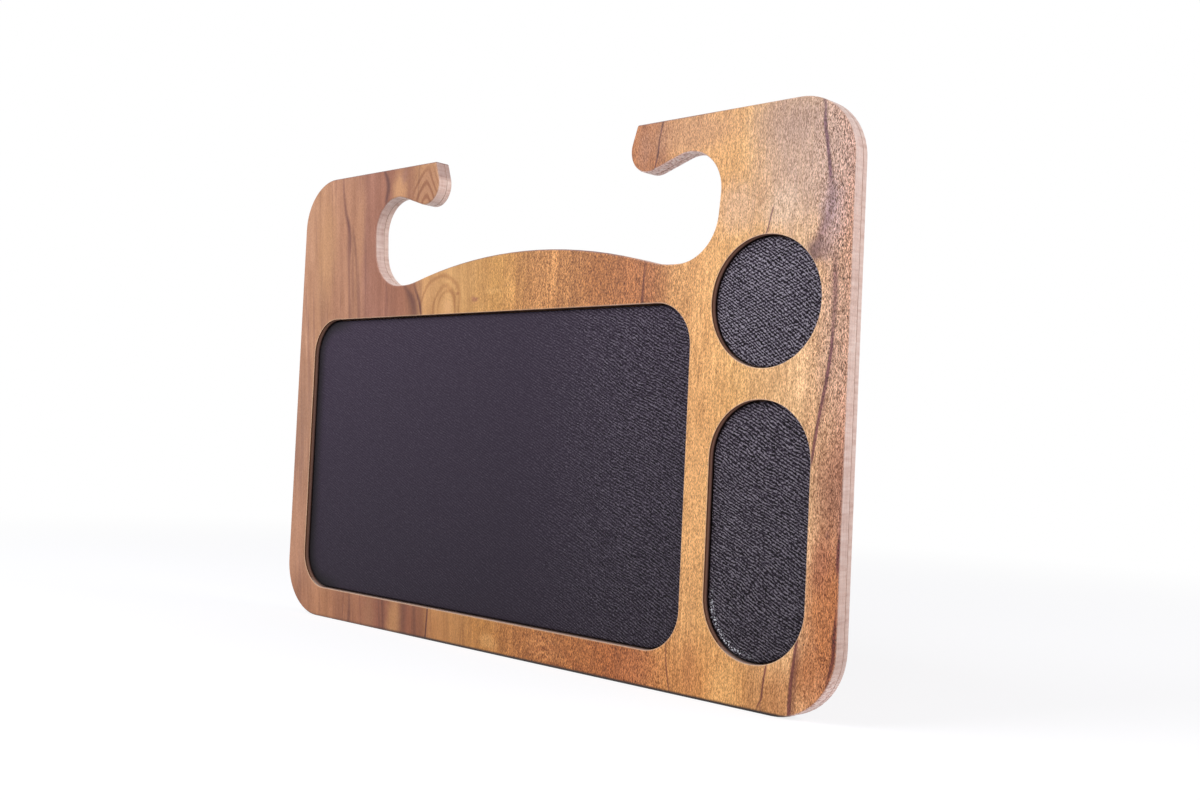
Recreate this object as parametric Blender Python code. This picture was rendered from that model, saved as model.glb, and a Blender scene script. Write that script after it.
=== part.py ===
"""Steering wheel desk: a flat wooden tray that hooks over a steering wheel.

Two boards with the same outline are glued face to face. Three pockets are cut through the front
board, and in each a pad lies on the back board: a leather cover over a stiff core, held by an
adhesive sheet. Nothing on it moves.

The desk stands on its long bottom edge. +X runs along the width, +Z up, and the front faces -Y.
The origin is at the middle of the width and of the thickness, on the bottom edge. Lengths are metres.
"""

import math
from collections import namedtuple

import bmesh
import bpy
from mathutils import Matrix, Vector

# The two boards
BOARD_WIDTH = 0.420
BOARD_HEIGHT = 0.280
FRONT_BOARD_THICKNESS = 0.0060
BACK_BOARD_THICKNESS = 0.0037
GLUE_JOINT = 0.0003
TOP_CORNER_RADIUS = 0.0305
BOTTOM_CORNER_RADIUS = 0.0330
BOARD_EDGE_ROUNDING = 0.0009

# The hooks and the arch between them, outward from the hook axis and down from the top edge
HOOK_AXIS_OFFSET = 0.0012
THROAT_DEPTH = 0.0722
THROAT_REACH = 0.1320
THROAT_WALL_LEAN = 0.0049
THROAT_FLOOR_RADIUS = 0.0243
THROAT_ROOF_DROP = 0.0096
THROAT_ROOF_RADIUS = 0.0201
HOOK_TIP_REACH = 0.0690
HOOK_TIP_DROP = 0.0316
HOOK_TIP_LEAN = 0.0106
HOOK_TIP_RADIUS = 0.0119
HOOK_TIP_TOP_RADIUS = 0.0010
ARCH_FOOT_REACH = 0.0996
ARCH_FOOT_RADIUS = 0.0513
ARCH_RISE = 0.0264
ARCH_RADIUS = 0.3650

# The pockets through the front board
LEFT_BORDER = 0.0174
RIGHT_BORDER = 0.0172
TRAY_BOTTOM_BORDER = 0.0184
TRAY_TO_THROAT = 0.0189
TRAY_CORNER_RADIUS = 0.0220
TRAY_TO_PHONE = 0.0147
PHONE_POCKET_WIDTH = 0.0570
PHONE_BOTTOM_BORDER = 0.0212
PHONE_CORNER_RADIUS = 0.0280
PHONE_TO_CUP = 0.0146
CUP_POCKET_DIAMETER = 0.0618
CUP_BELOW_THROAT = 0.0204
POCKET_EDGE_ROUNDING = 0.0004

# The pads, which lie on the back board inside the pockets
PAD_CLEARANCE = 0.0005
LEATHER_THICKNESS = 0.0010
LEATHER_EDGE_ROUNDING = 0.0008
CORE_THICKNESS = 0.0010
CORE_CLEARANCE = 0.0002
ADHESIVE_THICKNESS = 0.0003
ADHESIVE_INSET = 0.0030
ADHESIVE_GAP = 0.0002
PAD_SEAT_GAP = 0.0003

# How finely round stretches are cut into straight ones
CHORD_ERROR = 0.00004
LARGEST_STEP = math.radians(9)
ROUNDING_STEPS = 3

# Planes across the thickness, from the front face to the back face
TOTAL_THICKNESS = FRONT_BOARD_THICKNESS + GLUE_JOINT + BACK_BOARD_THICKNESS
FRONT_FACE = -TOTAL_THICKNESS / 2
FRONT_BOARD_BACK = FRONT_FACE + FRONT_BOARD_THICKNESS
BACK_BOARD_FRONT = FRONT_BOARD_BACK + GLUE_JOINT
BACK_FACE = TOTAL_THICKNESS / 2

Corner = namedtuple("Corner", "x z radius")
Pocket = namedtuple("Pocket", "name x z width height radius")
Section = namedtuple("Section", "outline rings")


def clear_scene():
    for thing in list(bpy.data.objects):
        bpy.data.objects.remove(thing, do_unlink=True)


def material(name, colour, roughness):
    made = bpy.data.materials.new(name)
    made.use_nodes = True
    shader = made.node_tree.nodes["Principled BSDF"]
    shader.inputs["Base Color"].default_value = (*colour, 1.0)
    shader.inputs["Roughness"].default_value = roughness
    shader.inputs["Metallic"].default_value = 0.0
    return made


def corner_frame(corners, index):
    """Directions to both neighbours, their distances and half the angle at one corner."""
    here = Vector((corners[index].x, corners[index].z))
    before = Vector((corners[index - 1].x, corners[index - 1].z)) - here
    following = corners[(index + 1) % len(corners)]
    after = Vector((following.x, following.z)) - here
    half_angle = before.angle(after) / 2
    return here, before, after, half_angle


def fitting_radii(corners):
    """Each corner's radius, made smaller where two roundings don't fit on the side they share."""
    tangents = []
    sides = []
    for index, corner in enumerate(corners):
        _, _, after, half_angle = corner_frame(corners, index)
        tangents.append(corner.radius / math.tan(half_angle))
        sides.append(after.length)
    shares = []
    for index, side in enumerate(sides):
        wanted = tangents[index] + tangents[(index + 1) % len(corners)]
        shares.append(min(1.0, side / wanted) if wanted > 0 else 1.0)
    limits = [min(shares[index - 1], shares[index]) for index in range(len(corners))]
    return [corner.radius * limit for corner, limit in zip(corners, limits)]


def rounded_outline(corners):
    """Points of a polygon whose corners are rounded with arcs, counter-clockwise seen from the front."""
    points = []
    for index, radius in enumerate(fitting_radii(corners)):
        here, before, after, half_angle = corner_frame(corners, index)
        if radius < CHORD_ERROR:
            points.append(here)
            continue
        inward = (before.normalized() + after.normalized()).normalized()
        centre = here + inward * radius / math.sin(half_angle)
        start = here + before.normalized() * radius / math.tan(half_angle) - centre
        sweep = math.pi - 2 * half_angle
        turn = 1 if before.x * after.y - before.y * after.x < 0 else -1
        step = min(LARGEST_STEP, 2 * math.acos(1 - CHORD_ERROR / radius))
        count = max(2, math.ceil(sweep / step))
        for place in range(count + 1):
            turned = Matrix.Rotation(turn * sweep * place / count, 2)
            points.append(centre + turned @ start)
    return without_repeats(points)


def without_repeats(points):
    kept = []
    for index, point in enumerate(points):
        if (point - points[index - 1]).length > CHORD_ERROR:
            kept.append(point)
    return kept


def inset(outline, distance):
    """The outline moved inward by a distance, with mitred corners; a hole's outline moves outward."""
    moved = []
    for index, point in enumerate(outline):
        before = (point - outline[index - 1]).normalized()
        after = (outline[(index + 1) % len(outline)] - point).normalized()
        normal_before = Vector((-before.y, before.x))
        normal_after = Vector((-after.y, after.x))
        mitre = normal_before + normal_after
        moved.append(point + mitre * distance * 2 / mitre.length_squared)
    return moved


def rounded_rectangle(width, height, radius):
    x = width / 2
    z = height / 2
    around = [(-x, -z), (x, -z), (x, z), (-x, z)]
    return rounded_outline([Corner(across, up, radius) for across, up in around])


def hook_corners(side):
    """The corners of one hook, from its tip outward and down to the foot of the arch."""
    floor = BOARD_HEIGHT - THROAT_DEPTH
    roof = BOARD_HEIGHT - THROAT_ROOF_DROP
    tip = BOARD_HEIGHT - HOOK_TIP_DROP
    outward = [
        (HOOK_TIP_REACH + HOOK_TIP_LEAN, BOARD_HEIGHT, HOOK_TIP_TOP_RADIUS),
        (HOOK_TIP_REACH, tip, HOOK_TIP_RADIUS),
        (THROAT_REACH + THROAT_WALL_LEAN, roof, THROAT_ROOF_RADIUS),
        (THROAT_REACH, floor, THROAT_FLOOR_RADIUS),
        (ARCH_FOOT_REACH, floor, ARCH_FOOT_RADIUS),
    ]
    return [Corner(HOOK_AXIS_OFFSET + side * reach, z, radius) for reach, z, radius in outward]


def board_outline():
    x = BOARD_WIDTH / 2
    bottom_left = Corner(-x, 0, BOTTOM_CORNER_RADIUS)
    bottom_right = Corner(x, 0, BOTTOM_CORNER_RADIUS)
    top_right = Corner(x, BOARD_HEIGHT, TOP_CORNER_RADIUS)
    top_left = Corner(-x, BOARD_HEIGHT, TOP_CORNER_RADIUS)
    crest = Corner(HOOK_AXIS_OFFSET, BOARD_HEIGHT - THROAT_DEPTH + ARCH_RISE, ARCH_RADIUS)
    right_half = [bottom_right, top_right, *hook_corners(1)]
    left_half = [*reversed(hook_corners(-1)), top_left, bottom_left]
    return rounded_outline([*right_half, crest, *left_half])


def pockets():
    """The three pockets, worked out from the borders, the walls between them and the throat."""
    throat_floor = BOARD_HEIGHT - THROAT_DEPTH
    column = BOARD_WIDTH / 2 - RIGHT_BORDER - PHONE_POCKET_WIDTH / 2

    tray_left = -BOARD_WIDTH / 2 + LEFT_BORDER
    tray_right = column - PHONE_POCKET_WIDTH / 2 - TRAY_TO_PHONE
    tray_top = throat_floor - TRAY_TO_THROAT
    tray = Pocket("tray", (tray_left + tray_right) / 2, (TRAY_BOTTOM_BORDER + tray_top) / 2,
                  tray_right - tray_left, tray_top - TRAY_BOTTOM_BORDER, TRAY_CORNER_RADIUS)

    cup_radius = CUP_POCKET_DIAMETER / 2
    cup_z = throat_floor - CUP_BELOW_THROAT
    cup = Pocket("cup", column, cup_z, CUP_POCKET_DIAMETER, CUP_POCKET_DIAMETER, cup_radius)

    phone_top = cup_z - cup_radius - PHONE_TO_CUP
    phone = Pocket("phone", column, (PHONE_BOTTOM_BORDER + phone_top) / 2,
                   PHONE_POCKET_WIDTH, phone_top - PHONE_BOTTOM_BORDER, PHONE_CORNER_RADIUS)
    return [tray, cup, phone]


def front_rounding(radius, front):
    """Rings of a rounded front edge, as pairs of inset and depth, ending on the full outline."""
    rings = []
    for place in range(ROUNDING_STEPS + 1):
        angle = math.pi / 2 * place / ROUNDING_STEPS
        rings.append((radius * (1 - math.sin(angle)), front + radius * (1 - math.cos(angle))))
    return rings


def back_rounding(radius, back):
    """Rings of a rounded back edge, starting on the full outline."""
    return [(distance, 2 * back - depth) for distance, depth in reversed(front_rounding(radius, back))]


def solid(name, sections, finish, location=(0, 0, 0)):
    """One closed piece: rings of points joined by quads, with a cap over the first and the last rings."""
    mesh = bpy.data.meshes.new(name)
    build = bmesh.new()
    caps = ([], [])
    for section in sections:
        rings = []
        for distance, depth in section.rings:
            outline = inset(section.outline, distance)
            rings.append([build.verts.new((point.x, depth, point.y)) for point in outline])
        for first, second in zip(rings, rings[1:]):
            for index in range(len(first)):
                build.faces.new((first[index - 1], first[index], second[index], second[index - 1]))
        for cap, ring in zip(caps, (rings[0], rings[-1])):
            cap += [build.edges.get((ring[index - 1], ring[index])) for index in range(len(ring))]
    for cap in caps:
        bmesh.ops.triangle_fill(build, use_beauty=True, edges=cap)
    bmesh.ops.recalc_face_normals(build, faces=build.faces)
    build.to_mesh(mesh)
    build.free()
    mesh.materials.append(finish)
    mesh.shade_smooth()
    mesh.set_sharp_from_angle(angle=math.radians(40))
    made = bpy.data.objects.new(name, mesh)
    made.location = location
    bpy.context.collection.objects.link(made)
    return made


def pocket_hole(pocket):
    """The pocket's outline on the board, clockwise, so that its inset moves into the wood."""
    centre = Vector((pocket.x, pocket.z))
    outline = [point + centre for point in rounded_rectangle(pocket.width, pocket.height, pocket.radius)]
    return list(reversed(outline))


def front_board(finish):
    rings = [*front_rounding(BOARD_EDGE_ROUNDING, FRONT_FACE), (0, FRONT_BOARD_BACK)]
    sections = [Section(board_outline(), rings)]
    for pocket in pockets():
        rings = [*front_rounding(POCKET_EDGE_ROUNDING, FRONT_FACE), (0, FRONT_BOARD_BACK)]
        sections.append(Section(pocket_hole(pocket), rings))
    return solid("front_board", sections, finish)


def back_board(finish):
    rings = [(0, BACK_BOARD_FRONT), *back_rounding(BOARD_EDGE_ROUNDING, BACK_FACE)]
    return solid("back_board", [Section(board_outline(), rings)], finish)


def pad_outline(pocket, distance):
    """The pocket's outline about its own centre, brought in by a distance on every side."""
    width = pocket.width - 2 * distance
    height = pocket.height - 2 * distance
    return rounded_rectangle(width, height, pocket.radius - distance)


def pad(pocket, leather, core, adhesive):
    """The adhesive sheet, the core and the leather cover of one pocket, from the back board forward."""
    location = (pocket.x, 0, pocket.z)
    adhesive_back = BACK_BOARD_FRONT - PAD_SEAT_GAP
    adhesive_front = adhesive_back - ADHESIVE_THICKNESS
    core_back = adhesive_front - ADHESIVE_GAP
    core_front = core_back - CORE_THICKNESS
    leather_back = core_front - CORE_CLEARANCE
    leather_front = leather_back - LEATHER_THICKNESS

    sheet = pad_outline(pocket, PAD_CLEARANCE + ADHESIVE_INSET)
    rings = [(0, adhesive_front), (0, adhesive_back)]
    solid(f"{pocket.name}_adhesive", [Section(sheet, rings)], adhesive, location)

    board = pad_outline(pocket, PAD_CLEARANCE + LEATHER_THICKNESS + CORE_CLEARANCE)
    rings = [(0, core_front), (0, core_back)]
    solid(f"{pocket.name}_core", [Section(board, rings)], core, location)

    cover = pad_outline(pocket, PAD_CLEARANCE)
    rings = [*front_rounding(LEATHER_EDGE_ROUNDING, leather_front), (0, core_back),
             (LEATHER_THICKNESS, core_back), (LEATHER_THICKNESS, leather_back)]
    solid(f"{pocket.name}_leather", [Section(cover, rings)], leather, location)


def main():
    clear_scene()
    front_board(material("oiled_front_board", (0.52, 0.30, 0.15), roughness=0.45))
    back_board(material("oiled_back_board", (0.50, 0.30, 0.16), roughness=0.45))
    leather = material("pebbled_black_leather", (0.035, 0.030, 0.040), roughness=0.5)
    core = material("grey_pulp_board", (0.30, 0.27, 0.24), roughness=0.9)
    adhesive = material("adhesive_sheet", (0.70, 0.66, 0.58), roughness=0.4)
    for pocket in pockets():
        pad(pocket, leather, core, adhesive)


main()
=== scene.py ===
# %% [markdown]
# # A steering wheel desk
#
# The desk is a flat laminated board. Two hooks at its top hang over a steering wheel, and three
# pockets in its front hold a laptop or a plate, a cup, and small things. Each pocket is lined with
# a leather pad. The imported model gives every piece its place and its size, and this lesson gives
# them their looks. It starts by loading that model and noting how large it is.

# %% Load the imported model
import math
from functools import partial

import bmesh
import bpy
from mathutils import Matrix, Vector, noise


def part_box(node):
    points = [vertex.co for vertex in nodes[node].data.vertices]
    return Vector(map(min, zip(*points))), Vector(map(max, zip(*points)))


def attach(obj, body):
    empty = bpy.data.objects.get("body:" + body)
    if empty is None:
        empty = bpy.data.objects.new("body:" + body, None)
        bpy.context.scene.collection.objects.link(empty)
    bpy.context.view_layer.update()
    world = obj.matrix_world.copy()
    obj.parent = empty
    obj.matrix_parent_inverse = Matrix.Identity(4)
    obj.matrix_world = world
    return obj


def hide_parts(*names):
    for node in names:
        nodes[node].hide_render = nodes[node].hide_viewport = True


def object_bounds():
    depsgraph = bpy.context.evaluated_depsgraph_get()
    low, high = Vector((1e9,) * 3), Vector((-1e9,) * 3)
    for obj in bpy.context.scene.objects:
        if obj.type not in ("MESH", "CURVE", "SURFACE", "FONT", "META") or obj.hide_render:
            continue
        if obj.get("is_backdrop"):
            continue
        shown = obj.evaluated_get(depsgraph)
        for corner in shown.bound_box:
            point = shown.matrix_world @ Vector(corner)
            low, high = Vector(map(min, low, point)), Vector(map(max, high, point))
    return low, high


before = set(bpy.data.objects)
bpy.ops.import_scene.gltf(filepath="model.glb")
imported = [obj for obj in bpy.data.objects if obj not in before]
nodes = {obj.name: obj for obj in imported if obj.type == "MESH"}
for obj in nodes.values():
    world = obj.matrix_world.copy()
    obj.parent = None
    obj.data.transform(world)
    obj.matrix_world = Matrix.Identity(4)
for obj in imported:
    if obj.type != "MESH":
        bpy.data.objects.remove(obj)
cad_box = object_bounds()
print("pieces in the packed model:", len(nodes))
print("its size in millimetres:", [round(1000 * side, 1) for side in cad_box[1] - cad_box[0]])

# %% [markdown]
# ## Colours, nodes and objects
#
# A colour is easiest to pick as a hex value, as a paint program shows it. Blender's shaders count
# in linear light, so one function turns a hex value into linear numbers. A second function adds a
# node, sets it and links it, which keeps a long material readable. It takes the inputs by place or
# by name, with a colour as a hex value, and gives back the outputs that the next nodes need. Where a
# node can work in several ways, the way stands behind its name: "Math MULTIPLY" is a Math node that
# multiplies. A Mix node always mixes colours here. A third function puts a new object in the scene.

# %% Functions for colours, nodes and objects
SETTING_OF = {"Math": "operation", "VectorMath": "operation", "MapRange": "interpolation_type",
              "Mix": "blend_type"}


def linear(hex_colour):
    """An sRGB hex colour as the linear red, green, blue and alpha that shaders use."""
    levels = [int(hex_colour[start:start + 2], 16) / 255 for start in (1, 3, 5)]
    return (*(v / 12.92 if v <= 0.04045 else ((v + 0.055) / 1.055) ** 2.4 for v in levels), 1.0)


def add_node(tree, kind, inputs=(), output=0, stops=None, **settings):
    """Adds a shader node with its settings, ramp stops and inputs. Returns the outputs asked for."""
    kind, _, way = kind.partition(" ")
    if kind == "Mix":
        settings["data_type"] = "RGBA"
    if way:
        settings[SETTING_OF[kind]] = way
    made = tree.nodes.new("ShaderNode" + kind)
    for name, value in settings.items():
        setattr(made, name, value)
    for index, (place, colour) in enumerate(stops or ()):
        elements = made.color_ramp.elements
        element = elements[index] if index < 2 else elements.new(place)
        element.position = place
        element.color = linear(colour)
    usable = [socket for socket in made.inputs if socket.enabled]
    named = {socket.name: socket for socket in reversed(usable)}
    pairs = inputs.items() if isinstance(inputs, dict) else enumerate(inputs)
    for key, value in pairs:
        socket = usable[key] if isinstance(key, int) else named[key]
        if isinstance(value, bpy.types.NodeSocket):
            tree.links.new(value, socket)
        elif value is not None:
            socket.default_value = linear(value) if isinstance(value, str) else value
    if isinstance(output, str):
        several = output not in made.outputs
        return [made.outputs[name] for name in output] if several else made.outputs[output]
    given = [socket for socket in made.outputs if socket.enabled]
    return given[output] if given else None


def start_material(name):
    """An empty material, and the function that adds nodes to it."""
    made = bpy.data.materials.new(name)
    made.use_nodes = True
    made.node_tree.nodes.clear()
    return made, partial(add_node, made.node_tree)


def add_object(name, data):
    """A new object in the scene, made from a mesh, a lamp or a camera."""
    made = bpy.data.objects.new(name, data)
    bpy.context.scene.collection.objects.link(made)
    return made


print("the hex colour #808080 is", round(linear("#808080")[0], 3), "in linear light")

# %% [markdown]
# ## The wood of the boards
#
# Both boards are sawn from a hardwood with a strong figure, planed, sanded and rubbed with oil.
# Sawing cuts through the yearly rings, so the face shows long bands that run up the board, a few
# dark mineral streaks, and arched rings where the saw ran level with a ring. The oil leaves a satin
# surface. An image could show all this, but a procedural wood is solid: it runs on round each edge
# and into each pocket as real wood does. So every pattern here is worked out from a point's place
# in the board, in millimetres.
#
# The first step turns that place into grain coordinates. On the left the grain leans by about six
# degrees, and everywhere it wavers a little. Patterns that use these coordinates lean and waver
# together, as fibres do.

# %% Grain coordinates
MILLIMETRES = 1000, 1000, 1000           # objects count in metres, and the patterns in millimetres
LEAN = 0.105                 # how far the grain moves left for each millimetre up
LEAN_LEVEL = 190.0           # the height where the leaning grain stands at its own place
LEAN_FADE = -60.0, 10.0, LEAN, 0.0       # it leans left of the first place, not right of the second
WAVER = 5.0                  # how far the grain strays sideways
WAVER_SCALE = 0.011, 0.05, 0.0045        # one over the size of its waves along each axis


def noise_at(put, place, scale, shift, **settings):
    """Noise with its own scale along each axis. The shift gives each use a noise of its own."""
    scaled = put("VectorMath MULTIPLY_ADD", [place, scale, shift])
    return put("TexNoise", {"Vector": scaled, "Scale": 1.0, **settings})


def grain_place(put, seed):
    """The point in millimetres, and the same point with its sideways place measured along the grain."""
    place = put("VectorMath MULTIPLY", [put("TexCoord", output="Object"), MILLIMETRES])
    x, y, z = put("SeparateXYZ", [place], output="XYZ")
    share = put("MapRange SMOOTHSTEP", [x, *LEAN_FADE])
    leaning = put("Math MULTIPLY_ADD", [put("Math SUBTRACT", [z, LEAN_LEVEL]), share, x])
    stray = noise_at(put, place, WAVER_SCALE, (seed, 0, 0), Detail=1.0)
    across = put("Math MULTIPLY_ADD", [stray, WAVER * 2, put("Math SUBTRACT", [leaning, WAVER])])
    return place, put("CombineXYZ", [across, y, z])


print("the grain leans by", round(math.degrees(math.atan(LEAN)), 1), "degrees on the left")

# %% [markdown]
# The tone of the wood changes slowly from side to side: pinkish brown on the left, then a sudden
# step to a golden brown, a redder stretch in the middle, and gold round the small pockets. A colour
# ramp across the grain holds those tones.
#
# On top of the tones lie finer patterns, each with its real size. Clouds are patches of denser wood
# as wide as a finger. Bands of late wood are millimetres wide and run the whole height; they show
# most on the left. Fibres are finer than the picture can show, so they are drawn almost a millimetre
# wide. Each pattern makes the colour a little lighter and darker. Its swing says by how much for red,
# green and blue, and the blue swings most, because dense wood is redder as well as darker.
#
# Much of this changes along the board. Such a change is written as four numbers: the place where it
# begins, the place where it ends, and the strength at the first and at the second. Each pattern adds
# a number of its own to the board's seed, so that no two share a noise.

# %% Tones, clouds, bands and fibres
HALF_WIDTH = 210.0           # of the board, in millimetres
CLOUD_WIDTH, CLOUD_LENGTH, CLOUD_SWING = 11.0, 26.0, (0.45, 0.60, 0.75)
BAND_WIDTH, BAND_LENGTH, BAND_SWING = 8.0, 300.0, (0.75, 0.90, 1.00)
FIBRE_WIDTH, FIBRE_LENGTH, FIBRE_SWING = 0.95, 16.0, (0.40, 0.46, 0.52)   # the real ones: 0.1 wide
VEIN_WIDTH, VEIN_LENGTH = 3.6, 75.0
BANDS_FADE = 60.0, 130.0, 1.0, 0.35
FIBRES_GROW = -60.0, 20.0, 1.0, 2.8
BACK_LINED = 1.6             # how clearly the plainer back board shows its fibres
VEINS_FADE = -96.0, -80.0, 0.34, 0.12
VEIN_SIDES = 0.54, 0.70, 0.0             # noise levels: nothing below the first, full at the second
STREAK_COLOUR = "#917390"    # what a full streak or vein leaves of the wood's own colour
FOOT_SHADE = "#F0E0D0"           # painted shade: darker towards the foot, where the light falls off
FOOT_SHADE_FADE = 10.0, 42.0, 1.0, 0.0


def stretched(put, grain, width, length, seed, **settings):
    """Noise whose patches are one width across the grain and one length along it."""
    return noise_at(put, grain, (1 / width, 1 / width, 1 / length), (seed,) * 3, **settings)


def varied(put, colour, pattern, weight, swing):
    """The colour made lighter and darker by a pattern, with its own swing for red, green and blue."""
    centred = put("Math SUBTRACT", [pattern, 0.5])
    weighted = put("Math MULTIPLY", [centred, weight])
    factor = put("VectorMath MULTIPLY_ADD", [weighted, swing, (1, 1, 1)])
    return put("VectorMath MULTIPLY", [colour, factor])


def toned_wood(put, place, grain, tones, seed, is_front):
    """The wood's colour with painted shade at the foot, and the fibres that the relief uses again."""
    across = put("SeparateXYZ", [grain], output="X")
    stops = [((x + HALF_WIDTH) / (2 * HALF_WIDTH), tone) for x, tone in tones]
    colour = put("ValToRGB", [put("MapRange", [across, -HALF_WIDTH, HALF_WIDTH])], stops=stops)
    clouds = stretched(put, grain, CLOUD_WIDTH, CLOUD_LENGTH, seed, Detail=2.0)
    colour = varied(put, colour, clouds, 1.0, CLOUD_SWING)
    bands = stretched(put, grain, BAND_WIDTH, BAND_LENGTH, seed + 7, Detail=1.5, Roughness=0.55)
    colour = varied(put, colour, bands, put("MapRange", [across, *BANDS_FADE]), BAND_SWING)
    fibres = stretched(put, grain, FIBRE_WIDTH, FIBRE_LENGTH, seed + 13, Detail=2.0, Roughness=0.65)
    lined = put("MapRange", [across, *FIBRES_GROW]) if is_front else BACK_LINED
    colour = varied(put, colour, fibres, lined, FIBRE_SWING)
    veins = stretched(put, grain, VEIN_WIDTH, VEIN_LENGTH, seed + 23, Detail=1.0)
    veins = put("MapRange SMOOTHSTEP", [veins, *VEIN_SIDES, put("MapRange", [across, *VEINS_FADE])])
    colour = put("Mix MULTIPLY", [veins, colour, STREAK_COLOUR])
    height = put("SeparateXYZ", [place], output="Z")
    # painted shade: the wood darkens towards the foot
    foot_shade = put("MapRange SMOOTHSTEP", [height, *FOOT_SHADE_FADE])
    return put("Mix MULTIPLY", [foot_shade, colour, FOOT_SHADE]), fibres


print("the widths of clouds, bands, fibres and veins in millimetres:",
      CLOUD_WIDTH, BAND_WIDTH, FIBRE_WIDTH, VEIN_WIDTH)

# %% [markdown]
# Sawn fibres end in the face as short dashes: dark where a pore is cut open, pale where the oil stands
# on a hard fibre. The pale dashes are partly painted glints, and so is their growth from left to
# right, where the light glints in the face. They are drawn last, over every knot and streak, because
# they belong to the surface. The two small noises differ in size, so the dashes don't look printed.
# On the left of this board the saw ran with the fibres and few of them end in the face. From the
# middle on it cut across them. They are calmer round the small pockets and on the right hook, and
# roughest along the right border. The back board was cut along its fibres and shows few ends anywhere.

# %% Fibre ends
DASH_WIDTH, DASH_LENGTH = 0.27, 1.00     # millimetres, drawn coarser than the real 0.2
PORE_WIDTH, PORE_LENGTH = 0.50, 3.6
DASH_LEVELS, DASH_SWING = (0.32, 0.68), (1.55, 1.80, 2.05)
PORE_LEVELS, PORE_COLOUR = (0.66, 0.80, 0.0, 0.7), "#7C4E37"
ENDS_GROW = -50.0, 25.0, 0.20, 1.10      # from left to right, partly as painted glints
ENDS_CALM = 100.0, 125.0, 1.10, 0.66     # round the small pockets
ENDS_CALM_UP = 222.0, 245.0, 1.10, 0.66  # up the right hook
BORDER = 184.0, 203.0                    # the right border
BORDER_GROWS = 120.0, 160.0, 0.70, 1.10  # up that border
BACK_LIVELY = 0.45                       # the back board, all over


def fibre_ends(put, place, grain, colour, seed, is_front):
    """The colour with the dashes of cut fibres, and the dashes for the relief."""
    lively = BACK_LIVELY
    if is_front:
        x, z = put("SeparateXYZ", [place], output="XZ")
        calm = put("Math MINIMUM", [put("MapRange", [x, *ENDS_CALM]),
                                    put("MapRange", [z, *ENDS_CALM_UP])])
        lively = put("Math MINIMUM", [put("MapRange", [x, *ENDS_GROW]), calm])
        border = put("MapRange", [x, *BORDER])
        rough = put("Math MULTIPLY_ADD", [border, put("MapRange", [z, *BORDER_GROWS]), 1.0])
        lively = put("Math MULTIPLY", [lively, rough])
    dashes = stretched(put, grain, DASH_WIDTH, DASH_LENGTH, seed + 19, Detail=1.0, Roughness=0.7)
    dashes = put("MapRange", [dashes, *DASH_LEVELS])
    colour = varied(put, colour, dashes, lively, DASH_SWING)
    pores = stretched(put, grain, PORE_WIDTH, PORE_LENGTH, seed + 29, Detail=0.0)
    share = put("Math MULTIPLY", [put("MapRange SMOOTHSTEP", [pores, *PORE_LEVELS]), lively])
    return put("Mix", [share, colour, PORE_COLOUR]), dashes


print("the dashes are", DASH_LENGTH, "mm long and the open pores", PORE_LENGTH, "mm")

# %% [markdown]
# Mineral streaks are thin dark lines that follow the grain and swell and fade on their way. Each is
# listed by a few places up its length: the height, the place from the middle, half its width, and
# how dark it is, with widths in millimetres. One curves node holds a whole streak, because its three
# curves give the place, the width and the darkness for any height.

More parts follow.
